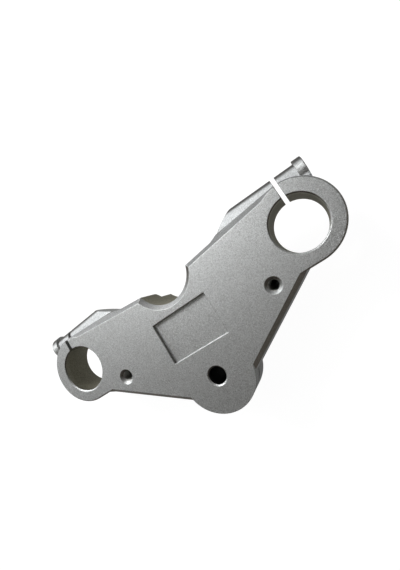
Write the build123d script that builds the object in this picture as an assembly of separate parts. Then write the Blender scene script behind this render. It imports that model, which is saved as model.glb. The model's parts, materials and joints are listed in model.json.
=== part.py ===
from build123d import *
import os
from math import cos, radians, sin, tan

# A lower fork clamp (triple clamp) for a motorcycle with 47 mm fork tubes, in millimetres.
# It is one piece: a forged and machined aluminium yoke. It lies on its hub with the machined
# face up. The origin is the steering stem's axis at the foot of the hub. X runs from fork tube
# to fork tube, Y from the stem towards the fork tubes, and Z up out of the machined face.

# Plate and hub
plate_depth = 39.8        # depth of the plate at its middle
ring_depth = 36.0         # its back slopes up to this depth at the fork rings
hub_rise = 23.7           # the hub stands this far out of the back of the plate's middle
hub_width = 52.4
lobe_radius = 35.1        # rounded end of the plate round the stem
back_round = 6.0          # rounded edge at the back of the web and the rings
lobe_round = 4.0
foot_round = 1.5

# Fork tubes
fork_spacing = 258.6      # centre to centre
stem_offset = 72.9        # from the stem's axis to the line through the fork tubes
fork_bore = 47.0
bore_break = 1.1
ring_wall = 12.2
ring_out = 0.8            # the ring's outside lies this far outboard of its bore
ring_up = 0.4             # and this far towards the notch
ring_break = 1.3

# Outline of the web between the rings, seen on the machined face
top_rise = 19.3           # top edge above the fork line, where it would cross the middle
top_angle = 6.0           # slope of the top edge up to each ring
bevel = 4.2               # 45 degree bevel along the web's edges and round the notch
neck_x = 59.0             # here the wall behind the top edge leaves its line
shoulder_x = 67.0         # and here it turns back along the pinch boss
shoulder_rise = 33.1      # the wall above the fork line at the shoulder
ring_rise = 36.8          # the wall above the fork line beside the ring
notch_rise = 35.9         # centre of the round notch above the fork line
notch_radius = 34.2
flank_reach = 22.8        # from the stem's axis square to the lower edge
flank_angle = 31.0        # slope of the lower edge down to the lobe
flank_lean = 1.1          # the wall below its bevel leans out this far
parting_depth = 15.0      # down to the parting line at this depth

# Groove along the parting line round the lobe
groove_width = 3.6
groove_depth = 1.6

# Blank recess in the machined face
recess_width = 62.0
recess_height = 41.5
recess_drop = 3.5         # its upper edge below the fork line
recess_depth = 3.2
recess_corner = 0.6

# Pinch bosses, each split by the clamp's slit
slit_width = 4.0
slit_shift = 1.7          # the slit lies outboard of the bore's centre
boss_radius = 9.3
boss_rise = 35.6          # axis above the fork line, at the bore's centre
boss_depth = 16.2         # axis below the machined face
boss_lean = 1.8           # degrees, the axis falls towards the fork line going outboard
boss_end_x = 87.2         # the slanted inner end starts here at the outside
boss_end_angle = 31.0
collar_radius = 11.8
collar_inner = 21.0       # collar's inner face, outboard of the bore's centre
collar_length = 7.8
collar_break = 0.6

# Pinch bolt hole, M8
bolt_clearance = 9.0
bolt_minor = 6.8
bolt_head_bore = 14.5
bolt_head_seat = 6.0
thread_reach = 24.0       # tapped length inboard of the slit

# Threaded holes in the machined face, M12
side_hole_x = 86.2
side_hole_drop = 31.0     # below the fork line
side_hole_minor = 10.2
side_hole_sink = 15.2
side_hole_depth = 24.0
drill_point = 31.0        # degrees, slope of a drilled hole's bottom

# Steering stem bore
stem_bore = 16.6
stem_break = 1.2

# Places that follow from the sizes
height = plate_depth + hub_rise
fork_x = fork_spacing / 2
ring_radius = fork_bore / 2 + ring_wall
ring_x = fork_x + ring_out
ring_y = stem_offset + ring_up
ring_low = ring_y - ring_radius
ring_back = height - ring_depth
notch_y = stem_offset + notch_rise
notch_wall = notch_radius - bevel
parting_z = height - parting_depth

# Cutting tools reach past everything, or run out of a face by the overlap
reach = 2 * fork_spacing
overlap = 5.0


def slope(angle):
    """Unit vector in the plan that rises at this angle away from the middle."""
    return Vector(cos(radians(angle)), sin(radians(angle)), 0)


def mirrored(shape):
    """The shape with its twin on the other side of the middle."""
    return shape + mirror(shape, about=Plane.YZ)


def upright(radius, x, y, low, high):
    """A cylinder along Z between two heights."""
    return Pos(x, y, low) * Cylinder(radius, high - low, align=(Align.CENTER, Align.CENTER, Align.MIN))


def side_of(plane):
    """Everything on the side that the plane faces."""
    return plane * Box(reach, reach, reach, align=(Align.CENTER, Align.CENTER, Align.MIN))


def beside_flank(distance, y):
    """Point at this height in the plan, on a line along the lower edge this far from the stem."""
    run = slope(flank_angle)
    return (distance + run.X * y) / run.Y, y


def web_outline():
    """Right half of the web as it is at the parting line."""
    run = slope(flank_angle)
    distance = flank_reach + bevel + flank_lean
    top = slope(top_angle)
    wall_rise = top_rise + bevel / top.X
    return Polyline(
        (0, 0),
        (distance * run.Y, -distance * run.X),
        beside_flank(distance, ring_low),
        (ring_x, ring_low),
        (ring_x, stem_offset + ring_rise),
        (shoulder_x, stem_offset + shoulder_rise),
        (neck_x, stem_offset + wall_rise + neck_x * top.Y / top.X),
        (0, stem_offset + wall_rise),
        (0, 0),
    )


def web_half():
    """Right half of the web with its sloping back, bevelled on top, with the leaning wall below."""
    half = Pos(0, 0, hub_rise) * extrude(make_face(web_outline()), plate_depth)
    half -= side_of(Plane((0, 0, hub_rise), x_dir=(0, 1, 0), z_dir=(ring_back - hub_rise, 0, -ring_x)))

    # The bevel falls at 45 degrees from the top edge
    run = slope(top_angle)
    half -= side_of(Plane((0, stem_offset + top_rise, height), x_dir=run, z_dir=(-run.Y, run.X, 1)))

    # The lower edge has the same bevel, as far as the smaller one along the ring
    run = slope(flank_angle)
    square = Vector(run.Y, -run.X, 0)
    flank = side_of(Plane(square * flank_reach + Vector(0, 0, height), x_dir=run, z_dir=square + Vector(0, 0, 1)))
    ring_edge = side_of(Plane((0, ring_low + ring_break, height), x_dir=(1, 0, 0), z_dir=(0, -1, 1)))
    half -= flank & ring_edge

    # Below the bevel the wall leans out down to the parting line
    foot = square * (flank_reach + bevel) + Vector(0, 0, height - bevel)
    fall = parting_depth - bevel
    leaning = side_of(Plane(foot, x_dir=run, z_dir=square * fall + Vector(0, 0, flank_lean)))
    below_ring = side_of(Plane((0, ring_low, 0), x_dir=(1, 0, 0), z_dir=(0, -1, 0)))
    return half - (leaning & below_ring)


def lies_at(edge, x):
    """Whether the whole edge lies at this distance from the middle."""
    box = edge.bounding_box()
    return abs(box.min.X - x) < 0.01 and abs(box.max.X - x) < 0.01


def rounded_back(solid, radius):
    """The solid with the edge of its back rounded, but not where its neighbour joins on."""
    back = solid.faces().sort_by(Axis.Z)[0]
    edges = [edge for edge in back.edges() if not lies_at(edge, 0) and not lies_at(edge, ring_x)]
    return fillet(edges, radius)


def plate():
    """Web, fork rings and lobe in one."""
    half = rounded_back(web_half(), back_round)
    half -= upright(notch_wall, 0, notch_y, hub_rise - overlap, height + overlap)
    ring = rounded_back(upright(ring_radius, ring_x, ring_y, ring_back, height), back_round)
    ring = chamfer(ring.edges().sort_by(Axis.Z)[-1], ring_break)
    lobe = rounded_back(upright(lobe_radius, 0, 0, hub_rise, height), lobe_round)
    return mirrored(half + ring) + lobe


def hub():
    """Raised middle on the back, as wide all the way from the stem to the notch."""
    outline = Circle(hub_width / 2) + Pos(0, notch_y / 2) * Rectangle(hub_width, notch_y)
    block = extrude(outline, hub_rise + overlap)
    block -= upright(notch_wall, 0, notch_y, -overlap, hub_rise + 2 * overlap)
    foot = block.faces().sort_by(Axis.Z)[0]
    return fillet(foot.edges(), foot_round)


def along_boss(radius, start, end):
    """A cylinder on the right boss's axis, its ends counted outboard from the bore's centre."""
    run = slope(-boss_lean)
    start_at = Vector(fork_x, stem_offset + boss_rise, height - boss_depth) + run * start
    bar = Cylinder(radius, end - start, align=(Align.CENTER, Align.CENTER, Align.MIN))
    return Plane(start_at, x_dir=(0, 0, 1), z_dir=run) * bar


def pinch_boss():
    """Right boss with its collar, its slanted inner end runs into the web."""
    run = slope(boss_end_angle)
    bar = along_boss(boss_radius, -fork_x, collar_inner)
    end_at = (boss_end_x, stem_offset + boss_rise + boss_radius, height)
    bar -= side_of(Plane(end_at, x_dir=run, z_dir=(-run.Y, run.X, 0)))
    collar = along_boss(collar_radius, collar_inner, collar_inner + collar_length)
    return bar + chamfer(collar.edges().sort_by(Axis.X)[-1], collar_break)


def pinch_bolt_hole():
    """Head seat and clearance hole outboard of the right slit, tapped hole inboard."""
    collar_outer = collar_inner + collar_length
    tapped_end = slit_shift - slit_width / 2 - thread_reach
    hole = along_boss(bolt_head_bore / 2, collar_outer - bolt_head_seat, collar_outer + overlap)
    hole += along_boss(bolt_clearance / 2, slit_shift, collar_outer)
    return hole + along_boss(bolt_minor / 2, tapped_end, slit_shift)


def turned(x, y, z, *profile):
    """A tool turned about a vertical axis, from points of its half section round (x, y, z)."""
    section = make_face(Polyline(*profile, profile[0]))
    return Pos(x, y, z) * revolve(Plane.XZ * section, Axis.Z)


def stem_hole():
    """Through bore for the steering stem, bevelled at the machined face."""
    radius = stem_bore / 2
    return turned(
        0,
        0,
        height,
        (0, overlap),
        (radius + stem_break + overlap, overlap),
        (radius, -stem_break),
        (radius, -height - overlap),
        (0, -height - overlap),
    )


def fork_hole():
    """Right fork bore, bevelled at both ends."""
    radius = fork_bore / 2
    wide = radius + bore_break + overlap
    return turned(
        fork_x,
        stem_offset,
        height,
        (0, overlap),
        (wide, overlap),
        (radius, -bore_break),
        (radius, bore_break - ring_depth),
        (wide, -ring_depth - overlap),
        (0, -ring_depth - overlap),
    )


def side_hole():
    """Right threaded hole, countersunk and drilled blind."""
    radius = side_hole_minor / 2
    sink_radius = side_hole_sink / 2
    return turned(
        side_hole_x,
        stem_offset - side_hole_drop,
        height,
        (0, overlap),
        (sink_radius + overlap, overlap),
        (radius, radius - sink_radius),
        (radius, -side_hole_depth),
        (0, -side_hole_depth - radius * tan(radians(drill_point))),
    )


def lobe_groove():
    """Groove round the lobe along the parting line, between the two lower walls."""
    half_width = groove_width / 2
    ring = turned(
        0,
        0,
        parting_z,
        (lobe_radius - groove_depth, -half_width),
        (lobe_radius + overlap, -half_width),
        (lobe_radius + overlap, half_width),
        (lobe_radius - groove_depth, half_width),
    )
    return ring - web_half() - mirror(web_half(), about=Plane.YZ)


def clamp_body():
    body = plate() + hub() + mirrored(pinch_boss())

    # The notch's wall is cut already, its bevel opens upwards
    body -= Pos(0, notch_y, height - bevel) * Cone(
        notch_wall, notch_radius + overlap, bevel + overlap, align=(Align.CENTER, Align.CENTER, Align.MIN)
    )

    recess = RectangleRounded(recess_width, recess_height, recess_corner)
    recess_at = Pos(0, stem_offset - recess_drop - recess_height / 2, height)
    body -= recess_at * extrude(recess, -recess_depth)

    body -= stem_hole()
    body -= mirrored(fork_hole())
    body -= mirrored(side_hole())
    body -= mirrored(pinch_bolt_hole())
    body -= lobe_groove()

    slit = Box(slit_width, reach, reach, align=(Align.CENTER, Align.MIN, Align.CENTER))
    body -= mirrored(Pos(fork_x + slit_shift, stem_offset, height) * slit)
    return body


os.makedirs("parts", exist_ok=True)
export_step(clamp_body(), "parts/clamp_body.step")
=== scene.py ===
"""Looks for a motorcycle fork clamp: blasted aluminium, cut threads and a plain pale studio.

It is laid out as an add-on and run as a script. Every size is in metres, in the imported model's frame.
"""

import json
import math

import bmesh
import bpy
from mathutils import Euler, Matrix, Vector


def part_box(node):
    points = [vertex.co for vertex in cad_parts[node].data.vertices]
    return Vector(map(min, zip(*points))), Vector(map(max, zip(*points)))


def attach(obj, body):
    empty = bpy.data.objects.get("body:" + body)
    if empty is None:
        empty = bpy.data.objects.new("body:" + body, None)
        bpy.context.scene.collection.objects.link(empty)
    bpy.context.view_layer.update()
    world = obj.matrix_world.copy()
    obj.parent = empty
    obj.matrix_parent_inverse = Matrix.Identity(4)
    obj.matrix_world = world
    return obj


bl_info = {
    "name": "Fork clamp looks",
    "version": (1, 0, 0),
    "blender": (4, 5, 0),
    "location": "3D View > Sidebar > Fork clamp",
    "description": "Finishes a packed fork clamp and sets a plain studio round it",
    "category": "Object",
}

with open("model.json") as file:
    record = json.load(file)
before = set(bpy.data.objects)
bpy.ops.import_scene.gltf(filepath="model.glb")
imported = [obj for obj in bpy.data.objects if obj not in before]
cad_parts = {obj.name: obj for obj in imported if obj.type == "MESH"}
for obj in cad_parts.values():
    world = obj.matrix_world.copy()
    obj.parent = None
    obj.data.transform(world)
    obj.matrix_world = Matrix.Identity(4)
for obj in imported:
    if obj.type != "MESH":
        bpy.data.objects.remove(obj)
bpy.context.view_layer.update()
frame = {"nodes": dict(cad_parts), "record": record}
BODY_NODE = "clamp_body"
MOUNTS = {mount["name"]: mount for mount in frame["record"]["mounts"]}
FACE_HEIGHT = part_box(BODY_NODE)[1].z
MM = 0.001

# Where the colour, its painted light and shade, and the roughness change on the body
BEVEL_DEPTH = 0.005  # the bevels of the web end this far below the face
BEVEL_FADE = 0.001
NOTCH_HALF_WIDTH = 0.031
NOTCH_START = 0.05  # the notch lies beyond this along Y
RIM_WIDTH = 0.002  # a bore's rim reaches this far out of its wall
SINK_RADIUS = 0.009  # a side hole with its countersink
BLACK_MARGIN = 0.0002  # the black of the stem bore reaches this far into its wall

# Parts of a surface's normal, where a painted tone of light and shade starts to change and where it has
# changed
OPEN_SLOPE = (0.3, 0.6)
BOSS_SLOPE = (0.1, 0.4)
BOSS_LEAN = (0.33, 0.77)
FLAT_SLOPE = (0.83, 0.97)
BEHIND_TURN = (0.65, -0.35)
LEFT_TURN = (-0.3, -0.7)
LEAN_SHARE = 0.5  # a boss counts as leaning away from the notch by this share of its Y
BOSS_TURN = 0.27  # the upper side of a boss faces the notch at least this much

# A thread's ridge along its hole, as shares of its pitch
CREST_START = 0.42
CREST_END = 0.54
ROOT_END = 0.96


# Settings


class FinishSettings(bpy.types.PropertyGroup):
    """Colours, painted light and shade, and grain of the blasted aluminium."""

    face_colour: bpy.props.FloatVectorProperty(
        name="Face colour",
        description="Colour of the faces that look up",
        subtype="COLOR",
        default=(0.62, 0.636, 0.636),
    )
    # Painted shade: the outer walls, the hub and the back are painted darker than the face, as they do
    # not face up
    side_painted_shade: bpy.props.FloatVectorProperty(
        name="Side colour",
        description="Colour of the outer walls, the hub and the back",
        subtype="COLOR",
        default=(0.34, 0.343, 0.334),
    )
    # Painted shade: the bores and the notch's walls are painted darker and olive, standing in for shade
    # and a warm reflection in them
    inner_wall_painted_shade: bpy.props.FloatVectorProperty(
        name="Bore colour",
        description="Colour of the bores and the notch's walls",
        subtype="COLOR",
        default=(0.29, 0.279, 0.22),
    )
    # Painted shade: the bevels that look towards the notch are painted darker than the face by their
    # slope
    bevel_painted_shade: bpy.props.FloatVectorProperty(
        name="Bevel colour",
        description="Colour of the bevels that look towards the notch",
        subtype="COLOR",
        default=(0.25, 0.255, 0.255),
    )
    # Painted light and shade: the notch's own bevel is painted paler than the other bevels and darker
    # than the face
    notch_bevel_painted_shade: bpy.props.FloatVectorProperty(
        name="Notch bevel colour",
        description="Colour of the notch's own bevel",
        subtype="COLOR",
        default=(0.38, 0.388, 0.388),
    )
    boss_colour: bpy.props.FloatVectorProperty(
        name="Boss colour",
        description="Colour of the pinch bosses",
        subtype="COLOR",
        default=(0.5, 0.514, 0.52),
    )
    # Painted shade on the bosses where they turn down beyond the notch
    boss_painted_shade: bpy.props.FloatVectorProperty(
        name="Boss shade colour",
        description="Colour of the bosses where they turn down beyond the notch",
        subtype="COLOR",
        default=(0.1, 0.098, 0.093),
    )
    # Painted shade: the bevels and rims that look away from the notch and the key light are painted near
    # dark
    far_bevel_painted_shade: bpy.props.FloatVectorProperty(
        name="Far bevel colour",
        description="Colour of the bevels that look away from the notch",
        subtype="COLOR",
        default=(0.105, 0.095, 0.081),
    )
    cut_colour: bpy.props.FloatVectorProperty(
        name="Cut metal colour",
        description="Colour of the side holes and the threads",
        subtype="COLOR",
        default=(0.5, 0.5, 0.48),
    )
    # A near-black colour on the stem bore's wall
    bore_colour: bpy.props.FloatVectorProperty(
        name="Stem bore colour",
        description="Colour of the blackened stem bore",
        subtype="COLOR",
        default=(0.004, 0.004, 0.004),
    )
    roughness: bpy.props.FloatProperty(
        name="Roughness",
        description="Roughness of the blasted surface",
        min=0.0,
        max=1.0,
        default=0.47,
    )
    boss_roughness: bpy.props.FloatProperty(
        name="Boss roughness",
        description="Roughness of the bosses and the walls below the bevels",
        min=0.0,
        max=1.0,
        default=0.62,
    )
    grain_size: bpy.props.FloatProperty(
        name="Grain size",
        description="Size of the blasted grain",
        subtype="DISTANCE",
        default=0.0006,
    )
    grain_strength: bpy.props.FloatProperty(
        name="Grain strength",
        description="How much the grain lightens and darkens the colour",
        subtype="FACTOR",
        default=0.55,
    )
    grain_depth: bpy.props.FloatProperty(
        name="Grain depth",
        description="Depth of the grain's bump, as a share of its size",
        subtype="FACTOR",
        default=1 / 6,
    )
    bump_strength: bpy.props.FloatProperty(
        name="Bump strength",
        description="Strength of the grain's bump",
        subtype="FACTOR",
        default=0.75,
    )
    rough_swing: bpy.props.FloatProperty(
        name="Roughness swing",
        description="How much the grain changes the roughness",
        subtype="FACTOR",
        default=0.25,
    )
    cloud_scale: bpy.props.FloatProperty(
        name="Cloud scale",
        description="Number of soft clouds of colour in a metre",
        default=38.0,
    )
    cloud_strength: bpy.props.FloatProperty(
        name="Cloud strength",
        description="How much the clouds lighten and darken the colour",
        subtype="FACTOR",
        default=0.06,
    )
    edge_radius: bpy.props.FloatProperty(
        name="Edge radius",
        description="Radius of the edges that the blasting rounds off",
        subtype="DISTANCE",
        default=0.0007,
    )


class ThreadSettings(bpy.types.PropertyGroup):
    """Sizes of the cut threads."""

    side_pitch: bpy.props.FloatProperty(
        name="Side thread pitch",
        description="Rise of the M12 threads in one turn",
        subtype="DISTANCE",
        default=0.00175,
    )
    pinch_pitch: bpy.props.FloatProperty(
        name="Pinch thread pitch",
        description="Rise of the M8 threads in one turn",
        subtype="DISTANCE",
        default=0.00125,
    )
    crest_share: bpy.props.FloatProperty(
        name="Crest height",
        description="Height of a thread's crest over the drilled wall, as a share of its pitch",
        min=0.1,
        max=0.6,
        default=0.3,
    )
    steps: bpy.props.IntProperty(
        name="Steps",
        description="Divisions of one turn",
        min=12,
        max=96,
        default=40,
    )


class StageSettings(bpy.types.PropertyGroup):
    """Camera, floor, world and lights."""

    camera_place: bpy.props.FloatVectorProperty(
        name="Camera place",
        description="Where the camera stands",
        subtype="TRANSLATION",
        unit="LENGTH",
        default=(0.13182, 0.04404, 0.33461),
    )
    camera_turn: bpy.props.FloatVectorProperty(
        name="Camera turn",
        description="The camera's rotation",
        subtype="EULER",
        default=(math.radians(-5.8193), math.radians(20.3591), math.radians(-34.2578)),
    )
    lens: bpy.props.FloatProperty(
        name="Lens",
        description="Focal length in millimetres on a 36 mm sensor",
        min=5.0,
        default=20.689,
    )
    floor_size: bpy.props.FloatProperty(
        name="Floor size",
        description="Side of the floor",
        subtype="DISTANCE",
        default=40.0,
    )
    floor_white: bpy.props.FloatProperty(
        name="Floor white",
        description="Brightness of the floor as the camera sees it",
        default=0.96,
    )
    floor_paint: bpy.props.FloatProperty(
        name="Floor paint",
        description="Share of the light on the floor that it throws back",
        subtype="FACTOR",
        default=0.15,
    )
    # Painted shadow: near the object the floor is painted dimmer in reflections, out to these reaches
    painted_shadow_reach: bpy.props.FloatProperty(
        name="Dim reach",
        description="Distance from the origin up to which the floor is dim in reflections",
        subtype="DISTANCE",
        default=0.16,
    )
    painted_shadow_end: bpy.props.FloatProperty(
        name="Bright reach",
        description="Distance from the origin from which the floor is white in reflections",
        subtype="DISTANCE",
        default=0.4,
    )
    painted_shadow_share: bpy.props.FloatProperty(
        name="Dim share",
        description="Brightness of the dim part of the floor, as a share of the white",
        subtype="FACTOR",
        default=0.25,
    )
    world_white: bpy.props.FloatProperty(
        name="World white",
        description="Brightness of the world as the camera sees it",
        default=0.95,
    )
    world_fill: bpy.props.FloatProperty(
        name="World fill",
        description="Brightness of the world for all but the camera and reflections",
        default=0.15,
    )
    horizon_white: bpy.props.FloatProperty(
        name="Horizon white",
        description="Brightness of the low part of the world in reflections",
        default=0.8,
    )
    overhead_colour: bpy.props.FloatVectorProperty(
        name="Overhead colour",
        description="Colour of the high part of the world in reflections",
        subtype="COLOR",
        default=(0.036, 0.029, 0.021),
    )
    horizon_rise: bpy.props.FloatProperty(
        name="Horizon rise",
        description="How steep a ray is, from 0 level to 1 upright, where the low part of the world ends",
        default=0.24,
    )
    overhead_rise: bpy.props.FloatProperty(
        name="Overhead rise",
        description="How steep a ray is, from 0 level to 1 upright, where the high part begins",
        default=0.6,
    )
    key_power: bpy.props.FloatProperty(
        name="Key light",
        description="Power of the soft light beyond the notch",
        unit="POWER",
        default=19.0,
    )
    key_place: bpy.props.FloatVectorProperty(
        name="Key place",
        description="Where the key light hangs",
        subtype="TRANSLATION",
        unit="LENGTH",
        default=(-0.46, 1.2, 0.95),
    )
    key_size: bpy.props.FloatVectorProperty(
        name="Key size",
        description="Width and depth of the key light",
        size=2,
        unit="LENGTH",
        default=(0.6, 0.5),
    )
    key_aim: bpy.props.FloatProperty(
        name="Key aim",
        description="Where on the face, along Y, the key light looks",
        subtype="DISTANCE",
        default=0.04,
    )
    panel_power: bpy.props.FloatProperty(
        name="Panel light",
        description="Power of the wide panel overhead",
        unit="POWER",
        default=6.4,
    )
    panel_place: bpy.props.FloatVectorProperty(
        name="Panel place",
        description="Where the panel hangs, facing straight down",
        subtype="TRANSLATION",
        unit="LENGTH",
        default=(-0.58, 1.04, 1.46),
    )
    panel_size: bpy.props.FloatVectorProperty(
        name="Panel size",
        description="Width and depth of the panel",
        size=2,
        unit="LENGTH",
        default=(1.4, 1.2),
    )


SETTINGS = {
    "clamp_finish": FinishSettings,
    "clamp_threads": ThreadSettings,
    "clamp_stage": StageSettings,
}


# Shader nodes


def add_node(tree, kind, place, **values):
    """A node of this kind, with its properties or its unlinked inputs set by name."""
    node = tree.nodes.new(kind)
    node.location = place
    for name, value in values.items():
        if hasattr(node, name):
            setattr(node, name, value)
        else:
            node.inputs[name.title()].default_value = value
    return node


def feed(tree, socket, operand):
    """Links the operand to this input where it is a socket, else sets the input to it."""
    if isinstance(operand, bpy.types.NodeSocket):
        tree.links.new(operand, socket)
    elif socket.type == "RGBA":
        socket.default_value = (*operand, 1.0)
    else:
        socket.default_value = operand


def calculate(tree, place, operation, first, second=0.0):
    """A Math node. Each operand is a socket or a number."""
    node = add_node(tree, "ShaderNodeMath", place, operation=operation)
    feed(tree, node.inputs[0], first)
    feed(tree, node.inputs[1], second)
    return node.outputs[0]


def ramp(tree, place, value, low, high, soft=True):
    """0 where the value is at the low end, 1 at the high end."""
    kind = "SMOOTHSTEP" if soft else "LINEAR"
    node = add_node(tree, "ShaderNodeMapRange", place, interpolation_type=kind)
    feed(tree, node.inputs["Value"], value)
    feed(tree, node.inputs["From Min"], low)
    feed(tree, node.inputs["From Max"], high)
    return node.outputs["Result"]


def mix_value(tree, place, share, first, second):
    """A value between two, each a socket or a number."""
    node = add_node(tree, "ShaderNodeMix", place, data_type="FLOAT")
    feed(tree, node.inputs["Factor"], share)
    feed(tree, node.inputs[2], first)
    feed(tree, node.inputs[3], second)
    return node.outputs[0]


def mix_colour(tree, place, share, first, second):
    """A colour between two, each a socket or a colour."""
    node = add_node(tree, "ShaderNodeMix", place, data_type="RGBA")
    feed(tree, node.inputs["Factor"], share)
    feed(tree, node.inputs[6], first)
    feed(tree, node.inputs[7], second)
    return node.outputs[2]


def split_place(tree, place):
    """X, Y and Z outputs of the object's own coordinates."""
    x, y = place
    source = add_node(tree, "ShaderNodeTexCoord", (x - 200, y)).outputs["Object"]
    parts = add_node(tree, "ShaderNodeSeparateXYZ", place)
    tree.links.new(source, parts.inputs[0])
    return parts.outputs


def new_group(name, inputs, outputs):
    """An empty shader group with named sockets, what it is given and what it makes."""
    tree = bpy.data.node_groups.new(name, "ShaderNodeTree")
    for label, kind in inputs.items():
        tree.interface.new_socket(label, in_out="INPUT", socket_type=kind)
    for label, kind in outputs.items():
        tree.interface.new_socket(label, in_out="OUTPUT", socket_type=kind)
    start = add_node(tree, "NodeGroupInput", (-900, 0))
    end = add_node(tree, "NodeGroupOutput", (900, 0))
    return tree, start.outputs, end.inputs


def add_group(tree, place, group):
    """A node that uses a group."""
    node = add_node(tree, "ShaderNodeGroup", place)
    node.node_tree = group
    return node


def grain_group(settings):
    """Blasted grain: a colour that glitters a little and a height for a bump."""
    tree, given, made = new_group(
        "blasted_grain",
        {"Colour": "NodeSocketColor", "Density": "NodeSocketFloat", "Strength": "NodeSocketFloat"},
        {"Colour": "NodeSocketColor", "Height": "NodeSocketFloat", "Rough": "NodeSocketFloat"},
    )
    place = add_node(tree, "ShaderNodeTexCoord", (-900, -200)).outputs["Object"]
    fine = add_node(tree, "ShaderNodeTexNoise", (-600, 100), detail=2.0, roughness=0.7)
    specks = add_node(tree, "ShaderNodeTexVoronoi", (-600, -200), feature="F1")
    cloud = add_node(tree, "ShaderNodeTexNoise", (-600, -500), scale=settings.cloud_scale, detail=3.0)
    for texture in (fine, specks, cloud):
        tree.links.new(place, texture.inputs["Vector"])
    for texture in (fine, specks):
        tree.links.new(given["Density"], texture.inputs["Scale"])

    # Each texture swings about zero before it lightens or darkens the colour
    swing = calculate(tree, (-350, 100), "SUBTRACT", fine.outputs[0], 0.5)
    shine = calculate(tree, (-350, -200), "SUBTRACT", specks.outputs["Color"], 0.5)
    both = calculate(tree, (-150, 0), "ADD", calculate(tree, (-250, 0), "MULTIPLY", swing, 2.0), shine)
    drift = calculate(tree, (-350, -500), "SUBTRACT", cloud.outputs[0], 0.5)
    drift = calculate(tree, (-150, -500), "MULTIPLY", drift, settings.cloud_strength)
    level = calculate(tree, (50, 0), "MULTIPLY", both, given["Strength"])
    level = calculate(tree, (150, -200), "ADD", level, drift)
    level = calculate(tree, (300, 0), "ADD", level, 1.0)
    scaled = add_node(tree, "ShaderNodeVectorMath", (450, 100), operation="SCALE")
    tree.links.new(given["Colour"], scaled.inputs[0])
    tree.links.new(level, scaled.inputs["Scale"])

    tree.links.new(scaled.outputs[0], made["Colour"])
    tree.links.new(both, made["Height"])
    tree.links.new(swing, made["Rough"])
    return tree


def painted_shade_group():
    """Masks for painted light and shade: how pale or dark a surface is painted, from the way it faces and
    its height.
    """
    masks = ("Open", "Deep", "Flat", "Behind", "Leftward", "Steep")
    tree, given, made = new_group(
        "painted_facing_shade",
        {"Normal": "NodeSocketVector", "Height": "NodeSocketFloat"},
        {**{mask: "NodeSocketFloat" for mask in masks}, "Normal": "NodeSocketVector"},
    )
    node = add_node(tree, "ShaderNodeSeparateXYZ", (-700, 0))
    tree.links.new(given["Normal"], node.inputs[0])
    parts = node.outputs
    bevel_end = FACE_HEIGHT - BEVEL_DEPTH
    near = ramp(tree, (-500, 500), given["Height"], bevel_end - BEVEL_FADE, bevel_end)
    deep = calculate(tree, (-200, -500), "SUBTRACT", 1.0, near)
    tree.links.new(deep, made["Deep"])

    # Near the face every slope down to a wall is open; the bosses are painted darker on their far side,
    # as painted shade
    slope = ramp(tree, (-500, 300), parts["Z"], *OPEN_SLOPE)
    steep = ramp(tree, (-500, 100), parts["Z"], *BOSS_SLOPE)
    lean = calculate(tree, (-500, -100), "MULTIPLY", parts["Y"], LEAN_SHARE)
    lean = calculate(tree, (-350, -100), "SUBTRACT", parts["Z"], lean)
    boss = calculate(tree, (-50, 0), "MULTIPLY", steep, ramp(tree, (-200, -100), lean, *BOSS_LEAN))
    tree.links.new(mix_value(tree, (150, 200), near, boss, slope), made["Open"])

    # Painted shade: the bevels near the face are painted darker the less they face the notch, where the
    # key light hangs
    tree.links.new(ramp(tree, (-200, -300), parts["Z"], *FLAT_SLOPE), made["Flat"])
    tree.links.new(ramp(tree, (-200, -700), parts["Y"], *BEHIND_TURN, soft=False), made["Behind"])
    tree.links.new(ramp(tree, (-200, -900), parts["X"], *LEFT_TURN), made["Leftward"])

    # The bosses' upper sides turn to the notch where they run into the web
    upper = calculate(tree, (0, -500), "MULTIPLY", deep, steep)
    tree.links.new(upper, made["Steep"])
    least = calculate(tree, (-350, -1300), "MAXIMUM", parts["Y"], BOSS_TURN)
    turned = add_node(tree, "ShaderNodeCombineXYZ", (0, -1100))
    tree.links.new(parts["X"], turned.inputs["X"])
    tree.links.new(mix_value(tree, (-200, -1100), upper, parts["Y"], least), turned.inputs["Y"])
    tree.links.new(parts["Z"], turned.inputs["Z"])
    unit = add_node(tree, "ShaderNodeVectorMath", (200, -1100), operation="NORMALIZE")
    tree.links.new(turned.outputs[0], unit.inputs[0])
    tree.links.new(unit.outputs[0], made["Normal"])
    return tree


# Materials


def new_material(name):
    """A material with its tree and its Principled shader."""
    material = bpy.data.materials.new(name)
    material.use_nodes = True
    shader = material.node_tree.nodes["Principled BSDF"]
    shader.location = (850, 0)
    return material, material.node_tree, shader


def finish_metal(tree, shader, colour, roughness, settings, normal, grain):
    """Grain, roughness and bump of the blasted metal on a Principled shader."""
    grained = add_group(tree, (200, 100), grain)
    grained.inputs["Density"].default_value = 1 / settings.grain_size
    grained.inputs["Strength"].default_value = settings.grain_strength
    tree.links.new(colour, grained.inputs["Colour"])
    tree.links.new(grained.outputs["Colour"], shader.inputs["Base Color"])

    rough = calculate(tree, (450, -100), "MULTIPLY", grained.outputs["Rough"], settings.rough_swing)
    rough = calculate(tree, (600, -100), "ADD", rough, roughness)
    tree.links.new(rough, shader.inputs["Roughness"])

    depth = settings.grain_size * settings.grain_depth
    bump = add_node(tree, "ShaderNodeBump", (600, -300), strength=settings.bump_strength, distance=depth)
    tree.links.new(grained.outputs["Height"], bump.inputs["Height"])
    if normal:
        tree.links.new(normal, bump.inputs["Normal"])
    tree.links.new(bump.outputs[0], shader.inputs["Normal"])
    shader.inputs["Metallic"].default_value = 1.0


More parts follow.
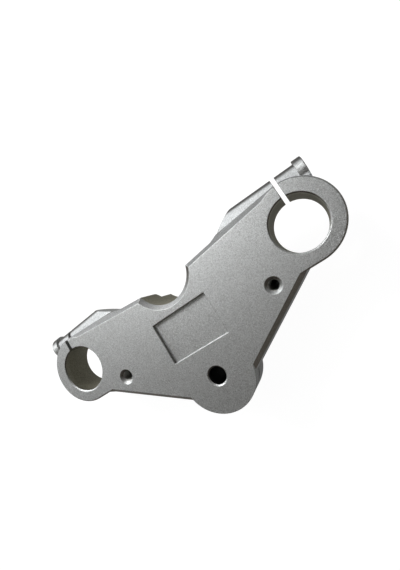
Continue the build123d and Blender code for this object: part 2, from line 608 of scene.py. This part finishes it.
def round_mask(tree, across, along, mount, radius):
    """1 inside this radius round the axis of a mount, on both sides of the middle."""
    centre_x, centre_y, _ = MOUNTS[mount]["pos_m"]
    plan = add_node(tree, "ShaderNodeCombineXYZ", (-500, 700))
    tree.links.new(across, plan.inputs["X"])
    tree.links.new(along, plan.inputs["Y"])
    reach = add_node(tree, "ShaderNodeVectorMath", (-350, 700), operation="DISTANCE")
    tree.links.new(plan.outputs[0], reach.inputs[0])
    reach.inputs[1].default_value = (centre_x, centre_y, 0.0)
    return calculate(tree, (-200, 700), "LESS_THAN", reach.outputs["Value"], radius)


def bore_radius(mount):
    """Radius of a mount's bore."""
    return MOUNTS[mount]["dims"]["r_mm"] * MM


def body_masks(tree, parts):
    """Where on the body each bore, hole and the notch lies, as masks by name."""
    across = calculate(tree, (-700, 400), "ABSOLUTE", parts["X"])
    along = parts["Y"]
    fork = "fork_clamp_right"
    stem = "stem_bore"
    middle = calculate(tree, (-600, 300), "LESS_THAN", across, NOTCH_HALF_WIDTH)
    beyond = calculate(tree, (-600, 1150), "GREATER_THAN", along, NOTCH_START)
    holes = round_mask(tree, across, along, "side_thread_right", SINK_RADIUS)
    bores = round_mask(tree, across, along, fork, bore_radius(fork) + RIM_WIDTH)
    stem_rim = round_mask(tree, across, along, stem, bore_radius(stem) + RIM_WIDTH)
    stem_wall = round_mask(tree, across, along, stem, bore_radius(stem) + BLACK_MARGIN)
    stem_top = MOUNTS[stem]["dims"]["length_mm"] * MM
    rims = calculate(tree, (-300, 850), "MAXIMUM", bores, stem_rim)
    notch = calculate(tree, (-400, 1000), "MULTIPLY", middle, beyond)
    below = calculate(tree, (-300, -800), "LESS_THAN", parts["Z"], stem_top)
    return {
        "middle": middle,
        "holes": holes,
        "rims": calculate(tree, (-200, 850), "MAXIMUM", rims, holes),
        "inner": calculate(tree, (-200, 1000), "MAXIMUM", bores, notch),
        "black": calculate(tree, (0, -700), "MULTIPLY", stem_wall, below),
    }


def open_colour(tree, settings, tones, masks):
    """Colour of the face, the bevels and the bosses, with painted light and shade by the way they face.
    """
    middle = masks["middle"]
    bevels = mix_colour(tree, (-500, 300), middle, settings.bevel_painted_shade, settings.notch_bevel_painted_shade)
    turned = calculate(tree, (-500, 500), "MULTIPLY", middle, tones["Leftward"])
    turned = calculate(tree, (-400, 500), "MAXIMUM", turned, tones["Behind"])
    bevels = mix_colour(tree, (-450, 150), turned, bevels, settings.far_bevel_painted_shade)
    level = mix_colour(tree, (-350, 200), tones["Flat"], bevels, settings.face_colour)
    level = mix_colour(tree, (-200, 200), tones["Deep"], level, settings.boss_colour)

    # Painted highlight and shade: the rims of the bores and holes are painted as pale as the face where
    # they face the notch, and dark where they face away
    rims = mix_colour(tree, (-250, 400), tones["Behind"], settings.face_colour, settings.far_bevel_painted_shade)
    rims = mix_colour(tree, (-180, 400), tones["Flat"], rims, settings.face_colour)
    return mix_colour(tree, (-120, 300), masks["rims"], level, rims)


def closed_colour(tree, settings, tones, masks):
    """Colour of the walls, the bores and the holes: painted shade on the walls, in the bores and on the
    bosses' far side, and the cut metal of the holes.
    """
    # Painted shade: the walls are painted the side colour, the bosses' steep sides below the bevels
    # darker still
    sides = mix_colour(tree, (-300, -100), tones["Steep"], settings.side_painted_shade, settings.boss_painted_shade)
    walls = mix_colour(tree, (-200, -100), masks["inner"], sides, settings.inner_wall_painted_shade)
    return mix_colour(tree, (-120, 0), masks["holes"], walls, settings.cut_colour)


def body_material(settings, grain, tone):
    """Blasted aluminium with painted light and shade: painted pale where it faces up, painted darker on
    walls and in bores.
    """
    material, tree, shader = new_material("blasted_aluminium")
    rounded = add_node(tree, "ShaderNodeBevel", (-900, -300), samples=6, radius=settings.edge_radius)
    parts = split_place(tree, (-900, -600))
    facing = add_group(tree, (-700, 0), tone)
    tree.links.new(rounded.outputs[0], facing.inputs["Normal"])
    tree.links.new(parts["Z"], facing.inputs["Height"])

    tones = facing.outputs
    masks = body_masks(tree, parts)
    level = open_colour(tree, settings, tones, masks)
    walls = closed_colour(tree, settings, tones, masks)
    colour = mix_colour(tree, (-50, 150), tones["Open"], walls, level)
    # The stem bore's wall is made near black, up to the stem's length
    colour = mix_colour(tree, (100, -50), masks["black"], colour, settings.bore_colour)

    rise = settings.boss_roughness - settings.roughness
    roughness = calculate(tree, (0, 400), "MULTIPLY", tones["Deep"], rise)
    roughness = calculate(tree, (100, 400), "ADD", roughness, settings.roughness)
    finish_metal(tree, shader, colour, roughness, settings, tones["Normal"], grain)
    return material


def thread_material(settings, grain):
    """The threads' cut metal."""
    material, tree, shader = new_material("cut_thread_metal")
    colour = add_node(tree, "ShaderNodeRGB", (-100, 100))
    colour.outputs[0].default_value = (*settings.cut_colour, 1.0)
    finish_metal(tree, shader, colour.outputs[0], settings.roughness, settings, None, grain)
    return material


# Pieces


def thread_mesh(radius, length, pitch, crest, steps):
    """A ridge that winds up the wall of a drilled hole, from 0 up to its length."""
    turns = length / pitch - 1
    mesh = bmesh.new()
    corners = [
        mesh.verts.new((radius, 0, 0)),
        mesh.verts.new((radius - crest, 0, pitch * CREST_START)),
        mesh.verts.new((radius - crest, 0, pitch * CREST_END)),
        mesh.verts.new((radius, 0, pitch * ROOT_END)),
    ]
    face = mesh.faces.new(corners)
    bmesh.ops.spin(
        mesh,
        geom=[face, *face.edges, *face.verts],
        cent=(0, 0, 0),
        axis=(0, 0, 1),
        dvec=(0, 0, pitch / steps),
        angle=2 * math.pi * turns,
        steps=round(turns * steps),
    )
    bmesh.ops.remove_doubles(mesh, verts=mesh.verts, dist=1e-7)
    bmesh.ops.recalc_face_normals(mesh, faces=mesh.faces)
    return mesh


def place_thread(name, mount, pitch, settings, material):
    """A thread in the hole of this mount. Its object stays at the origin."""
    radius = mount["dims"]["r_mm"] * MM
    length = mount["dims"]["length_mm"] * MM
    ridge = thread_mesh(radius, length, pitch, pitch * settings.crest_share, settings.steps)
    axis = Vector(mount["axis"])
    start = Vector(mount["pos_m"]) - axis * length / 2
    turn = axis.to_track_quat("Z", "Y").to_matrix().to_4x4()
    bmesh.ops.transform(ridge, matrix=Matrix.Translation(start) @ turn, verts=ridge.verts)
    data = bpy.data.meshes.new(name)
    ridge.to_mesh(data)
    ridge.free()
    piece = bpy.data.objects.new(name, data)
    bpy.context.scene.collection.objects.link(piece)
    data.materials.append(material)
    for polygon in data.polygons:
        polygon.use_smooth = True
    return piece


# Stage


def ray_kinds(tree, place):
    """1 for a camera ray, and 1 for a ray that was mirrored or let through."""
    x, y = place
    path = add_node(tree, "ShaderNodeLightPath", (x - 200, y)).outputs
    glint = calculate(tree, place, "MAXIMUM", path["Is Glossy Ray"], path["Is Transmission Ray"])
    return path["Is Camera Ray"], glint


def floor_material(settings):
    """White to the camera and dull to all other light; in reflections white only away from the object,
    with a painted shadow near it.
    """
    material = bpy.data.materials.new("pale_floor")
    material.use_nodes = True
    tree = material.node_tree
    tree.nodes.clear()
    # Painted shadow: the floor's glow in reflections is lowered near the object
    place = add_node(tree, "ShaderNodeTexCoord", (-1100, 0)).outputs["Object"]
    reach = add_node(tree, "ShaderNodeVectorMath", (-950, 0), operation="LENGTH")
    tree.links.new(place, reach.inputs[0])
    share = ramp(tree, (-800, 0), reach.outputs["Value"], settings.painted_shadow_reach, settings.painted_shadow_end)
    share = calculate(tree, (-650, 0), "MULTIPLY", share, 1 - settings.painted_shadow_share)
    share = calculate(tree, (-500, 0), "ADD", share, settings.painted_shadow_share)
    camera, glint = ray_kinds(tree, (-600, 300))
    glint = calculate(tree, (-400, 300), "MULTIPLY", glint, share)
    seen = calculate(tree, (-200, 200), "MAXIMUM", camera, glint)

    paint = add_node(tree, "ShaderNodeBsdfDiffuse", (-350, 0))
    feed(tree, paint.inputs["Color"], [settings.floor_paint] * 3)
    glow = add_node(tree, "ShaderNodeEmission", (-350, -150))
    strength = calculate(tree, (-350, -300), "MULTIPLY", seen, settings.floor_white)
    tree.links.new(strength, glow.inputs["Strength"])
    both = add_node(tree, "ShaderNodeAddShader", (-50, 0))
    tree.links.new(paint.outputs[0], both.inputs[0])
    tree.links.new(glow.outputs[0], both.inputs[1])
    end = add_node(tree, "ShaderNodeOutputMaterial", (200, 0))
    tree.links.new(both.outputs[0], end.inputs["Surface"])
    return material


def studio_world(settings):
    """White to the camera, pale low down and dark overhead in reflections, a dim fill for all else."""
    world = bpy.data.worlds.new("pale_studio")
    bpy.context.scene.world = world
    world.use_nodes = True
    tree = world.node_tree
    tree.nodes.clear()
    camera, glint = ray_kinds(tree, (-500, 300))
    ray = add_node(tree, "ShaderNodeTexCoord", (-900, 0)).outputs["Generated"]
    parts = add_node(tree, "ShaderNodeSeparateXYZ", (-700, 0))
    tree.links.new(ray, parts.inputs[0])
    rise = ramp(tree, (-500, 0), parts.outputs["Z"], settings.horizon_rise, settings.overhead_rise)
    horizon = [settings.horizon_white] * 3
    fill = [settings.world_fill] * 3
    white = [settings.world_white] * 3
    sky = mix_colour(tree, (-300, 0), rise, horizon, settings.overhead_colour)
    shown = mix_colour(tree, (-200, 100), glint, fill, sky)
    shown = mix_colour(tree, (-50, 100), camera, shown, white)
    light = add_node(tree, "ShaderNodeBackground", (100, 0))
    tree.links.new(shown, light.inputs["Color"])
    end = add_node(tree, "ShaderNodeOutputWorld", (300, 0))
    tree.links.new(light.outputs[0], end.inputs["Surface"])


def soft_light(name, power, size, place, target):
    """A rectangular soft light that looks at the target."""
    data = bpy.data.lights.new(name, "AREA")
    data.shape = "RECTANGLE"
    data.size, data.size_y = size
    data.energy = power
    light = bpy.data.objects.new(name, data)
    bpy.context.scene.collection.objects.link(light)
    light.location = place
    light.rotation_euler = (Vector(target) - Vector(place)).to_track_quat("-Z", "Y").to_euler()


def lay_floor(settings):
    """A square floor under the object."""
    mesh = bmesh.new()
    bmesh.ops.create_grid(mesh, x_segments=1, y_segments=1, size=settings.floor_size / 2)
    data = bpy.data.meshes.new("floor")
    mesh.to_mesh(data)
    mesh.free()
    floor = bpy.data.objects.new("floor", data)
    bpy.context.scene.collection.objects.link(floor)
    data.materials.append(floor_material(settings))
    return floor


def add_camera(settings):
    """The camera that sees the object as in the photo."""
    data = bpy.data.cameras.new("camera")
    data.lens = settings.lens
    data.sensor_width = 36.0
    data.clip_start = 0.01
    camera = bpy.data.objects.new("camera", data)
    bpy.context.scene.collection.objects.link(camera)
    camera.location = settings.camera_place
    camera.rotation_euler = Euler(settings.camera_turn)
    return camera


# Operators


class CLAMP_OT_finish_body(bpy.types.Operator):
    """Gives the clamp its blasted aluminium"""

    bl_idname = "clamp.finish_body"
    bl_label = "Finish the body"

    def execute(self, context):
        settings = context.scene.clamp_finish
        material = body_material(settings, grain_group(settings), painted_shade_group())
        body = frame["nodes"][BODY_NODE]
        if not body.material_slots:
            raise RuntimeError("the packed body has no material slot")
        for slot in body.material_slots:
            slot.material = material
        return {"FINISHED"}


class CLAMP_OT_cut_threads(bpy.types.Operator):
    """Winds a thread into each of the four tapped holes"""

    bl_idname = "clamp.cut_threads"
    bl_label = "Cut the threads"

    def execute(self, context):
        settings = context.scene.clamp_threads
        material = thread_material(context.scene.clamp_finish, bpy.data.node_groups["blasted_grain"])
        pitches = {"side": settings.side_pitch, "pinch": settings.pinch_pitch}
        for kind, pitch in pitches.items():
            for side in ("right", "left"):
                name = f"{kind}_thread_{side}"
                piece = place_thread(name, MOUNTS[name], pitch, settings, material)
                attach(piece, "root")
        return {"FINISHED"}


class CLAMP_OT_set_stage(bpy.types.Operator):
    """Sets the floor, the lights and the camera"""

    bl_idname = "clamp.set_stage"
    bl_label = "Set the stage"

    def execute(self, context):
        settings = context.scene.clamp_stage
        context.scene.view_settings.view_transform = "Standard"
        floor = lay_floor(settings)
        studio_world(settings)
        face = (0.0, settings.key_aim, FACE_HEIGHT)
        below = (*settings.panel_place[:2], 0.0)
        soft_light("key_light", settings.key_power, settings.key_size, settings.key_place, face)
        soft_light("panel_light", settings.panel_power, settings.panel_size, settings.panel_place, below)
        context.scene.camera = add_camera(settings)
        return {"FINISHED"}


class CLAMP_PT_sidebar(bpy.types.Panel):
    """Lists the clamp's settings and steps"""

    bl_label = "Fork clamp"
    bl_idname = "CLAMP_PT_sidebar"
    bl_space_type = "VIEW_3D"
    bl_region_type = "UI"
    bl_category = "Fork clamp"

    def draw(self, context):
        for name, operator in zip(SETTINGS, OPERATORS):
            box = self.layout.box()
            settings = getattr(context.scene, name)
            for prop in settings.bl_rna.properties:
                if prop.identifier not in ("rna_type", "name"):
                    box.prop(settings, prop.identifier)
            box.operator(operator.bl_idname)


OPERATORS = (CLAMP_OT_finish_body, CLAMP_OT_cut_threads, CLAMP_OT_set_stage)
CLASSES = (*SETTINGS.values(), *OPERATORS, CLAMP_PT_sidebar)


def register():
    for cls in CLASSES:
        bpy.utils.register_class(cls)
    for name, settings in SETTINGS.items():
        setattr(bpy.types.Scene, name, bpy.props.PointerProperty(type=settings))


def unregister():
    for name in SETTINGS:
        delattr(bpy.types.Scene, name)
    for cls in reversed(CLASSES):
        bpy.utils.unregister_class(cls)


def main():
    register()
    bpy.ops.clamp.finish_body()
    bpy.ops.clamp.cut_threads()
    bpy.ops.clamp.set_stage()


if __name__ == "__main__":
    main()
